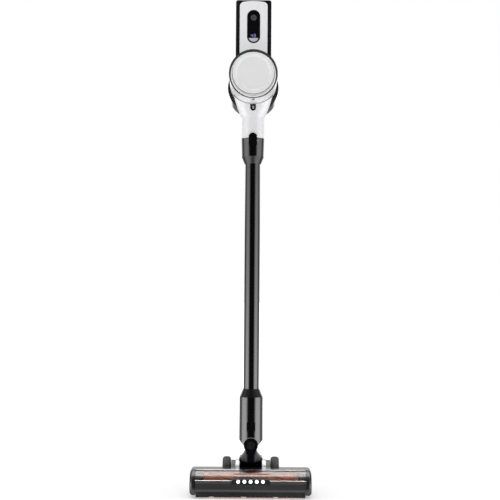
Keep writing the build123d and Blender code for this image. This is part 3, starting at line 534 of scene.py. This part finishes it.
def tyre(side):
    """One rear tyre round its hub."""
    low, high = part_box(f"rear_tyre_{side}")
    hub_low, hub_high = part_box(f"rear_wheel_{side}")
    middle = (low + high) / 2
    radius = (high.z - low.z) / 2
    hub_radius = (hub_high.z - hub_low.z) / 2
    width = high.x - low.x
    near = width / 60
    clear()
    bpy.ops.mesh.primitive_cylinder_add(
        vertices=2 * tread_blocks,
        radius=radius,
        depth=width,
        end_fill_type="NOTHING",
        location=middle,
        rotation=(0, math.pi / 2, 0),
    )
    bpy.ops.object.transform_apply(location=True, rotation=True, scale=True)
    bpy.ops.object.mode_set(mode="EDIT")
    for share in (-shoulder_band, -middle_band, middle_band, shoulder_band):
        bpy.ops.mesh.select_all(action="SELECT")
        cut = (middle.x + share * width, 0, 0)
        bpy.ops.mesh.bisect(plane_co=cut, plane_no=(1, 0, 0), use_fill=False)
    for share, drop in ((rim_band, shoulder_drop), (shoulder_band, crown_drop)):
        for sign in (-1, 1):
            place = middle.x + sign * share * width
            pick("VERT", lambda point: abs(point.co.x - place) < near)
            scale = (radius - drop) / radius
            bpy.ops.transform.resize(value=(1, scale, scale), center_override=middle)

    def on_block(face):
        turn = math.atan2(face.center.z - middle.z, face.center.y - middle.y)
        column = int((turn / (2 * math.pi) + 1) * 2 * tread_blocks)
        band = abs(face.center.x - middle.x) / width
        staggered = 1 if band < middle_band else 0
        return column % 2 == staggered and band < shoulder_band

    pick("FACE", on_block)
    bpy.ops.mesh.inset(thickness=tread_gap, depth=-tread_depth, use_individual=True)
    for sign in (-1, 1):
        place = middle.x + sign * width / 2
        pick("VERT", lambda point: abs(point.co.x - place) < near)
        bpy.ops.mesh.select_mode(type="EDGE")
        bpy.ops.mesh.extrude_edges_move()
        scale = hub_radius / (radius - shoulder_drop)
        bpy.ops.transform.resize(value=(1, scale, scale), center_override=middle)

    def on_hub(point):
        return math.hypot(point.co.y - middle.y, point.co.z - middle.z) < hub_radius + 0.0005

    pick("VERT", on_hub)
    bpy.ops.mesh.select_mode(type="EDGE")
    bpy.ops.mesh.bridge_edge_loops()
    bpy.ops.object.mode_set(mode="OBJECT")
    settle(f"tyre_{side}", f"rear_{side}", "tyre_rubber", tyre_rubber, f"rear_tyre_{side}")


for side in ("left", "right"):
    tyre(side)


# Wheel caps. Small discs of black plastic with a dished ring, one over each end of the rear
# axle. They stay still with the axle while the wheels turn.
wheel_cap_radius = 0.0064
wheel_cap_thickness = 0.0012
wheel_cap_gap = 0.0001
axle_end = 0.0031  # how far the axle reaches past the hub


def wheel_cap(side, outward):
    """The cap over one end of the rear axle."""
    low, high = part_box(f"rear_wheel_{side}")
    middle = (low + high) / 2
    face = (high.x if outward > 0 else low.x) + outward * axle_end
    away = outward * (wheel_cap_gap + wheel_cap_thickness / 2)
    clear()
    bpy.ops.mesh.primitive_cylinder_add(
        vertices=48,
        radius=wheel_cap_radius,
        depth=wheel_cap_thickness,
        location=(face + away, middle.y, middle.z),
        rotation=(0, outward * math.pi / 2, 0),
    )
    bpy.ops.object.transform_apply(location=True, rotation=True, scale=True)
    pick("FACE", lambda side_face: side_face.normal.x * outward > 0.9)
    bpy.ops.mesh.inset(thickness=0.0012, depth=0.0004)
    bpy.ops.mesh.inset(thickness=0.001, depth=-0.0005)
    bpy.ops.mesh.inset(thickness=0.001, depth=0.0006)
    bpy.ops.object.mode_set(mode="OBJECT")
    round_edges(0.0002)
    settle(f"wheel_cap_{side}", "floor_head", "wheel_black", wheel_black)


wheel_cap("left", -1)
wheel_cap("right", 1)


# Lamp bezel. A thin pale grey strip that frames the lamp panel on three sides and runs into the bumper's
# lip, a painted highlight along the panel's outline, bent from one strip and bonded to the panel.
lamp_low, lamp_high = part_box("lamp_panel")
lamp_middle = (lamp_low + lamp_high) / 2
bezel_width = 0.0011
bezel_thickness = 0.0009
bezel_proud = 0.0003
bezel_foot = 0.0048
bezel_lap = 0.0004
bezel_slant = 0.0046
bezel_points = [
    (lamp_low.x - bezel_lap, lamp_low.z + bezel_foot),
    (lamp_low.x + bezel_slant, lamp_high.z - bezel_width / 2),
    (lamp_high.x - bezel_slant, lamp_high.z - bezel_width / 2),
    (lamp_high.x + bezel_lap, lamp_low.z + bezel_foot),
]
clear()
bpy.ops.mesh.primitive_grid_add(
    x_subdivisions=3, y_subdivisions=1, size=1, location=lamp_middle, rotation=(math.pi / 2, 0, 0)
)
bpy.ops.object.transform_apply(location=True, rotation=True, scale=True)
for column, (x, z) in enumerate(bezel_points):
    for row, rise in ((-0.5, -bezel_width), (0.5, 0)):
        at = Vector((lamp_middle.x - 0.5 + column / 3, lamp_middle.y, lamp_middle.z + row))
        pick("VERT", lambda point: (point.co - at).length < 0.01)
        to = Vector((x, lamp_low.y - bezel_proud, z + rise))
        bpy.ops.transform.translate(value=to - at)
bpy.ops.object.mode_set(mode="OBJECT")
bezel_wall = bpy.context.object.modifiers.new("wall", "SOLIDIFY")
bezel_wall.thickness = bezel_thickness
bezel_wall.offset = 0
round_edges(0.0002)
settle("lamp_bezel_highlight", "floor_head", "bumper_grey", bezel_highlight_grey)


# White bodywork: neck, motor drum and deck cover. Satin white plastic with a very light grain.
white_plastic = moulded(
    "white_plastic", (0.63, 0.63, 0.64), (0.66, 0.66, 0.67), (0.26, 0.32), 1600, 0.02
)
paint(white_plastic, "neck_duct", "motor_drum", "deck_cover")
cap_white = moulded("cap_white", (0.6, 0.6, 0.605), (0.63, 0.63, 0.635), (0.3, 0.36), 1700, 0.02)


# Black bodywork of the hand unit: ring round the cap, deck frame, bin lid, grip and battery.
frame_black = moulded(
    "frame_black", (0.007, 0.007, 0.008), (0.011, 0.011, 0.012), (0.12, 0.2), 800, 0.03
)
paint(frame_black, "deck_frame", "bin_lid")
ring_black = moulded("ring_black", (0.035, 0.035, 0.036), (0.05, 0.05, 0.052), (0.22, 0.3), 900, 0.02)
paint(ring_black, "front_ring")
grip_black = moulded("grip_black", (0.016, 0.016, 0.017), (0.022, 0.022, 0.023), (0.5, 0.62), 2000, 0.35)
paint(grip_black, "grip")
battery_black = moulded(
    "battery_black", (0.014, 0.014, 0.015), (0.02, 0.02, 0.021), (0.36, 0.46), 1500, 0.2
)
paint(battery_black, "battery_case", "battery_lid", "charging_socket")
latch_grey = moulded("latch_grey", (0.1, 0.1, 0.105), (0.13, 0.13, 0.135), (0.35, 0.45), 1400)
paint(latch_grey, "battery_latch")


# Dust bin and air path. A smoked clear plastic cup through which the cyclone's metal screen
# shows, and behind it the seal, cone, fan, two filters and the motor's drawn can.
smoked_bin = moulded("smoked_bin", (0.05, 0.05, 0.052), (0.065, 0.065, 0.067), (0.06, 0.1), 300, 0.005)
coat(smoked_bin, Transmission_Weight=0.75, IOR=1.4, Specular_IOR_Level=0.3)
paint(smoked_bin, "dust_bin")
seal_rubber = moulded("seal_rubber", (0.03, 0.03, 0.03), (0.04, 0.04, 0.04), (0.6, 0.7), 1500, 0.2)
paint(seal_rubber, "bin_lid_seal")
screen_metal = moulded("screen_metal", (0.4, 0.41, 0.43), (0.5, 0.51, 0.53), (0.25, 0.35), 1600, 0.1)
coat(screen_metal, Metallic=1.0)
paint(screen_metal, "cyclone_screen")
cone_grey = moulded("cone_grey", (0.12, 0.12, 0.125), (0.16, 0.16, 0.165), (0.4, 0.5), 1200)
paint(cone_grey, "cyclone_cone", "suction_fan")
filter_white = moulded("filter_white", (0.75, 0.75, 0.72), (0.84, 0.84, 0.82), (0.8, 0.9), 2600, 0.5)
paint(filter_white, "exhaust_filter")
foam_grey = moulded("foam_grey", (0.16, 0.18, 0.22), (0.24, 0.26, 0.3), (0.85, 0.95), 1200, 0.9)
paint(foam_grey, "pre_filter")
can_metal = moulded("can_metal", (0.4, 0.4, 0.42), (0.5, 0.5, 0.52), (0.35, 0.45), 1400, 0.15)
coat(can_metal, Metallic=1.0)
paint(can_metal, "motor_can")


# Controls. Piano-black display with two buttons behind the same lens, and glossy release
# buttons on the wand, the connector and the neck. The board and cells they serve come last.
display_black = moulded(
    "display_black", (0.002, 0.002, 0.003), (0.004, 0.004, 0.005), (0.05, 0.09), 500, 0.01
)
paint(display_black, "display_panel")
key_grey = moulded("key_grey", (0.05, 0.05, 0.052), (0.07, 0.07, 0.072), (0.2, 0.28), 1200, 0.03)
paint(key_grey, "power_button")
moon_grey = moulded("moon_grey", (0.38, 0.36, 0.36), (0.44, 0.42, 0.42), (0.25, 0.35), 1500, 0.05)
paint(moon_grey, "mode_button")
button_black = moulded(
    "button_black", (0.0012, 0.0012, 0.0014), (0.003, 0.003, 0.0032), (0.16, 0.22), 1500, 0.01
)
paint(button_black, "wand_release_button", "head_release_button", "bin_release_button")
board_green = moulded("board_green", (0.01, 0.09, 0.03), (0.02, 0.13, 0.05), (0.3, 0.4), 1500, 0.1)
paint(board_green, "circuit_board")
cell_blue = moulded("cell_blue", (0.04, 0.12, 0.32), (0.05, 0.15, 0.38), (0.3, 0.4), 1400, 0.05)
paint(cell_blue, "battery_cells")


# Exhaust cap. One white disc with a raised rim, a soft dish and a fine groove inside the rim, in which a
# dark grey ring paints the groove's shade; it is turned from a half outline and twists off for the
# filter.
cap_low, cap_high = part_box("exhaust_cap")
ring_low, ring_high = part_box("front_ring")
ring_middle = (ring_low + ring_high) / 2
cap_middle = (cap_low + cap_high) / 2
cap_radius = (cap_high.z - cap_low.z) / 2
cap_step = 0.004
disc_radius = cap_radius - cap_step


def outline_spin(points, middle, steps):
    """Spins a (radius, depth from the front) outline into a shell round an axis along Y."""
    clear()
    bpy.ops.mesh.primitive_plane_add(size=0.001, location=(middle.x, middle.y, middle.z))
    bpy.ops.object.transform_apply(location=True, rotation=True, scale=True)
    bpy.ops.object.mode_set(mode="EDIT")
    bpy.ops.mesh.select_all(action="SELECT")
    bpy.ops.mesh.merge(type="CENTER")
    reach, depth = points[0]
    bpy.ops.transform.translate(value=(reach, depth, 0))
    for next_reach, next_depth in points[1:]:
        step = (next_reach - reach, next_depth - depth, 0)
        bpy.ops.mesh.extrude_region_move(TRANSFORM_OT_translate={"value": step})
        reach, depth = next_reach, next_depth
    bpy.ops.mesh.select_all(action="SELECT")
    bpy.ops.mesh.spin(steps=steps, angle=2 * math.pi, center=middle, axis=(0, 1, 0))
    bpy.ops.mesh.select_all(action="SELECT")
    bpy.ops.mesh.remove_doubles(threshold=0.00001)
    bpy.ops.mesh.normals_make_consistent(inside=False)
    bpy.ops.object.mode_set(mode="OBJECT")


cap_front = Vector((ring_middle.x, cap_low.y, ring_middle.z))
dish_steps = 7
dish_outer = disc_radius - 0.0045
dish_inner = disc_radius - 0.0115
dish_depth = 0.003
disc_back = 0.0062
cap_outline = [(0, dish_depth)]
for step in range(dish_steps + 1):
    share = step / dish_steps
    fall = dish_depth * (1 + math.cos(math.pi * share)) / 2
    cap_outline.append((dish_inner + (dish_outer - dish_inner) * share, fall))
cap_outline += [
    (disc_radius - 0.0014, 0),
    (disc_radius - 0.0005, 0.0003),
    (disc_radius, 0.0011),
    (disc_radius, disc_back),
    (0, disc_back),
]
spin_steps = 96
outline_spin(cap_outline, cap_front, spin_steps)
disc = bpy.context.object
rim_front = Vector((cap_middle.x, cap_low.y + cap_step, cap_middle.z))
rim_back = cap_high.y - cap_low.y - cap_step
rim_outline = [
    (cap_radius - 0.0032, 0.0018),
    (cap_radius - 0.0028, 0.0004),
    (cap_radius - 0.0021, 0),
    (cap_radius - 0.0009, 0),
    (cap_radius - 0.0001, 0.0009),
    (cap_radius - 0.0001, rim_back),
    (cap_radius - 0.003, rim_back),
    (cap_radius - 0.0032, 0.0018),
]
outline_spin(rim_outline, rim_front, spin_steps)
rim = bpy.context.object
web_radius = cap_radius - 0.0031
web_front = 0.0018
web_back = 0.0032
web_outline = [(0, web_front), (web_radius, web_front), (web_radius, web_back), (0, web_back)]
outline_spin(web_outline, rim_front, spin_steps)
web = bpy.context.object
join([rim, web, disc])
settle("cap_shell", "cap", "cap_white", cap_white, "exhaust_cap")
# A dark grey ring laid in the groove is painted shade for the groove's inside.
groove_depth = cap_low.y + 0.0048
groove_stretch = 1.6
clear()
bpy.ops.mesh.primitive_torus_add(
    major_segments=spin_steps,
    minor_segments=8,
    major_radius=disc_radius + 0.0004,
    minor_radius=0.0005,
    location=(cap_middle.x, groove_depth, ring_middle.z),
    rotation=(math.pi / 2, 0, 0),
)
bpy.ops.object.mode_set(mode="EDIT")
bpy.ops.mesh.select_all(action="SELECT")
groove_centre = (0, groove_depth, ring_middle.z)
bpy.ops.transform.resize(value=(1, groove_stretch, 1), center_override=groove_centre)
bpy.ops.object.mode_set(mode="OBJECT")
groove_painted_shade = moulded("groove_painted_shade", (0.12, 0.12, 0.122), (0.16, 0.16, 0.162), (0.5, 0.6), 900, 0.05)
settle("cap_groove_shade", "cap", "cap_white", groove_painted_shade)


# Neck seam shade. A dark round line laid in the seam between the neck and the underside of the drum,
# painted shade for the gap there; it swells towards its two ends, where that shade is wider.
def front_face(node, x, z):
    """Where a straight line from the front first meets a CAD node."""
    found, place, _, _ = nodes[node].ray_cast(Vector((x, cad_box[0].y - 0.1, z)), Vector((0, 1, 0)))
    return place if found else None


def beading(points, thickness, resolution):
    """A round line through (x, y, z, swelling) points, as a mesh."""
    clear()
    bpy.ops.curve.primitive_nurbs_path_add(location=(0, 0, 0))
    line = bpy.context.object.data
    line.splines.clear()
    strand = line.splines.new("POLY")
    strand.points.add(len(points) - 1)
    for point, (x, y, z, swelling) in zip(strand.points, points):
        point.co = (x, y, z, 1)
        point.radius = swelling
    line.bevel_depth = thickness
    line.bevel_resolution = resolution
    line.use_fill_caps = True
    bpy.ops.object.convert(target="MESH")


drum_radius = (ring_high.z - ring_low.z) / 2
seam_reach = 60  # degrees to each side of the lowest point
seam_step = 3
seam_drop = 0.0002
seam_shade_radius = 0.0009
seam_points = []
for degrees in range(-seam_reach, seam_reach + 1, seam_step):
    angle = math.radians(degrees)
    x = drum_radius * math.sin(angle)
    z = ring_middle.z - drum_radius * math.cos(angle)
    place = front_face("neck_duct", x * 0.995, z - 0.0012)
    if place:
        swelling = 0.45 + 1.5 * (abs(degrees) / seam_reach) ** 2
        seam_points.append((x, place.y, z - seam_drop, swelling))
beading(seam_points, seam_shade_radius, 3)
# The strip's dark grey is painted shade for the seam.
seam_painted_shade = moulded(
    "seam_painted_shade", (0.04, 0.04, 0.041), (0.055, 0.055, 0.056), (0.45, 0.6), 1500, 0.1
)
settle("neck_seam_shade", "hand_unit", "seal_rubber", seam_painted_shade)


# Cap latch mark. A small dark oval boss moulded under the drum just behind the ring, which
# shows where the exhaust cap locks.
clear()
bpy.ops.mesh.primitive_cylinder_add(
    vertices=32,
    radius=0.003,
    depth=0.0008,
    location=(0, ring_high.y + 0.012, ring_middle.z - drum_radius),
    scale=(1, 1.6, 1),
)
pick("FACE", lambda face: face.normal.z < -0.9)
bpy.ops.mesh.inset(thickness=0.0007, depth=-0.0003)
bpy.ops.object.mode_set(mode="OBJECT")
round_edges(0.0002)
settle("cap_latch_mark", "hand_unit", "ring_black", ring_black)


# Display figures. Two seven-bar digits for the charge left, lit pale blue behind the black lens
# just above the mode button.
def bar(place, size, rounding):
    """A small bar with rounded ends, returned for joining."""
    clear()
    bpy.ops.mesh.primitive_cube_add(size=1, location=place, scale=size)
    bpy.ops.object.transform_apply(location=True, rotation=True, scale=True)
    round_edges(rounding, 2, 60)
    apply_modifiers()
    return bpy.context.object


panel_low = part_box("display_panel")[0]
moon_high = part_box("mode_button")[1]
figure_height = 0.0078
figure_width = 0.0044
figure_pitch = 0.0066
stroke = 0.0009
figure_depth = 0.0003
figure_shift = 0.0007  # both digits stand a little to the left
figure_front = panel_low.y
figure_middle = moon_high.z + 0.0016 + figure_height / 2
segments = {
    "top": (0, 1, True),
    "middle": (0, 0, True),
    "bottom": (0, -1, True),
    "upper_left": (-1, 0.5, False),
    "upper_right": (1, 0.5, False),
    "lower_left": (-1, -0.5, False),
    "lower_right": (1, -0.5, False),
}
four = ["upper_left", "upper_right", "middle", "lower_right"]
figures = [four, list(segments)]
bars = []
for place, lit in enumerate(figures):
    centre = (place - 0.5) * figure_pitch - figure_shift
    for name in lit:
        across, up, level_bar = segments[name]
        x = centre + across * (figure_width - stroke) / 2
        z = figure_middle + up * (figure_height - stroke) / 2
        length = figure_width - 1.3 * stroke if level_bar else figure_height / 2 - 1.1 * stroke
        size = (length, figure_depth, stroke) if level_bar else (stroke, figure_depth, length)
        bars.append(bar((x, figure_front, z), size, stroke / 5))
join(bars)
figure_glow = moulded("figure_glow", (0.12, 0.12, 0.3), (0.16, 0.16, 0.36), (0.2, 0.3), 800, 0.02)
coat(figure_glow, Emission_Color=(0.4, 0.4, 0.9, 1), Emission_Strength=0.3)
settle("display_figures", "hand_unit", "lamp_lens", figure_glow)


# Power symbol. A broken ring with an upright stroke, printed in raised black ink on the grey
# power button.
key_low, key_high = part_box("power_button")
key_middle = (key_low + key_high) / 2
symbol_radius = 0.0026
symbol_centre = (key_middle.x, key_low.y, key_middle.z)


def in_break(point):
    """Whether a point of the ring lies in the gap for the stroke."""
    return point.co.z > key_middle.z + 0.0018 and abs(point.co.x - key_middle.x) < 0.0013


clear()
bpy.ops.mesh.primitive_torus_add(
    major_segments=48,
    minor_segments=8,
    major_radius=symbol_radius,
    minor_radius=0.0004,
    location=symbol_centre,
    rotation=(math.pi / 2, 0, 0),
)
bpy.ops.object.transform_apply(location=True, rotation=True, scale=True)
pick("VERT", in_break)
bpy.ops.mesh.delete(type="VERT")
bpy.ops.mesh.select_all(action="SELECT")
bpy.ops.transform.resize(value=(1, 0.5, 1), center_override=symbol_centre)
bpy.ops.mesh.fill_holes(sides=8)
bpy.ops.object.mode_set(mode="OBJECT")
ring_part = bpy.context.object
upright_place = (key_middle.x, key_low.y, key_middle.z + symbol_radius)
upright = bar(upright_place, (0.0008, 0.0004, 0.0026), 0.00015)
join([ring_part, upright])
settle("power_symbol", "power", "display_black", display_black)


# Release highlight. A pale raised oval outline on the bin release button, set a little right of its
# middle: a painted highlight on the glossy button.
release_low, release_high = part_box("bin_release_button")
release_middle = (release_low + release_high) / 2
clear()
bpy.ops.mesh.primitive_torus_add(
    major_segments=32,
    minor_segments=8,
    major_radius=0.0015,
    minor_radius=0.0005,
    location=(release_middle.x + 0.0004, release_low.y, release_middle.z),
    rotation=(math.pi / 2, 0, 0),
)
bpy.ops.object.mode_set(mode="EDIT")
bpy.ops.mesh.select_all(action="SELECT")
release_front = (release_middle.x, release_low.y, release_middle.z)
bpy.ops.transform.resize(value=(0.9, 0.5, 1.7), center_override=release_front)
bpy.ops.object.mode_set(mode="OBJECT")
# The pale colour is a painted highlight on the glossy button.
release_painted_highlight = moulded("release_painted_highlight", (0.42, 0.42, 0.43), (0.5, 0.5, 0.51), (0.4, 0.5), 900, 0.05)
settle("bin_release_highlight", "bin_release", "latch_grey", release_painted_highlight)


# Battery grips and charge lamps. Shallow ribs on both flanks for pulling the pack out, and three
# lamp windows on its rear face that count the charge.
case_low, case_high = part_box("battery_case")
case_middle = (case_low + case_high) / 2
rib_count = 7
rib_pitch = 0.0055
rib_size = (0.0016, 0.022, 0.0022)
light_pitch = 0.011
light_drop = 0.024
light_size = (0.0065, 0.0008, 0.0022)
ribs = []
for flank in (case_low.x, case_high.x):
    for index in range(rib_count):
        z = case_middle.z + (index - (rib_count - 1) / 2) * rib_pitch
        ribs.append(bar((flank, case_middle.y + 0.004, z), rib_size, 0.0006))
join(ribs)
settle("battery_ribs", "battery", "battery_black", battery_black)
lights = []
for index in range(3):
    x = (index - 1) * light_pitch
    lights.append(bar((x, case_high.y, case_high.z - light_drop), light_size, 0.0003))
join(lights)
charge_green = moulded("charge_green", (0.1, 0.5, 0.2), (0.14, 0.6, 0.26), (0.2, 0.3), 700, 0.02)
coat(charge_green, Emission_Color=(0.15, 0.9, 0.35, 1), Emission_Strength=0.4)
settle("charge_lights", "battery", "lamp_lens", charge_green)


# Front lint strip. Short black felt fingers under the bumper, painted shade for the dark gap under the
# head, which also hide the brush from the front.
skirt_low, skirt_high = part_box("front_skirt")
finger_count = 24
finger_gap = 0.0001
finger_thickness = 0.0016
finger_lap = 0.0012  # how far each finger goes up behind the skirt
finger_set_back = 0.0009
short_finger = 0.0016  # how much shorter every seventh finger is
finger_foot = cad_box[0].z + 0.0026
finger_pitch = (skirt_high.x - skirt_low.x) / finger_count
fingers = []
for index in range(finger_count):
    x = skirt_low.x + (index + 0.5) * finger_pitch
    foot = finger_foot + (short_finger if index % 7 == 3 else 0)
    height = skirt_low.z + finger_lap - foot
    place = (x, skirt_high.y + finger_set_back, foot + height / 2)
    size = (finger_pitch - finger_gap, finger_thickness, height)
    fingers.append(bar(place, size, 0.0004))
join(fingers)
# Its black paints the shade under the bumper.
felt_painted_shade = moulded("felt_painted_shade", (0.008, 0.008, 0.008), (0.014, 0.014, 0.014), (0.8, 0.9), 2600, 0.6)
settle("front_shade_strip", "floor_head", "head_black", felt_painted_shade)


# Pivot trim. A fine pale line let into the connector round the top of the swivel tongue, a painted
# highlight along the rim of its opening.
trim_radius = 0.0166
trim_reach = 66  # degrees to each side of the top
trim_step = 6
trim_thickness = 0.0004
lean_low, lean_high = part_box("lean_pins")
lean_height = (lean_low.z + lean_high.z) / 2
trim_points = []
for degrees in range(-trim_reach, trim_reach + 1, trim_step):
    angle = math.radians(degrees)
    x = trim_radius * math.sin(angle)
    z = lean_height + trim_radius * math.cos(angle)
    place = front_face("connector_body", x, z + 0.0003)
    if place:
        trim_points.append((*place, 1))
beading(trim_points, trim_thickness, 2)
# The pale grey paints a highlight along the rim round the tongue.
trim_painted_highlight = moulded("trim_painted_highlight", (0.3, 0.3, 0.3), (0.36, 0.36, 0.36), (0.25, 0.35), 900, 0.02)
settle("pivot_highlight_line", "connector", "bright_ring", trim_painted_highlight)
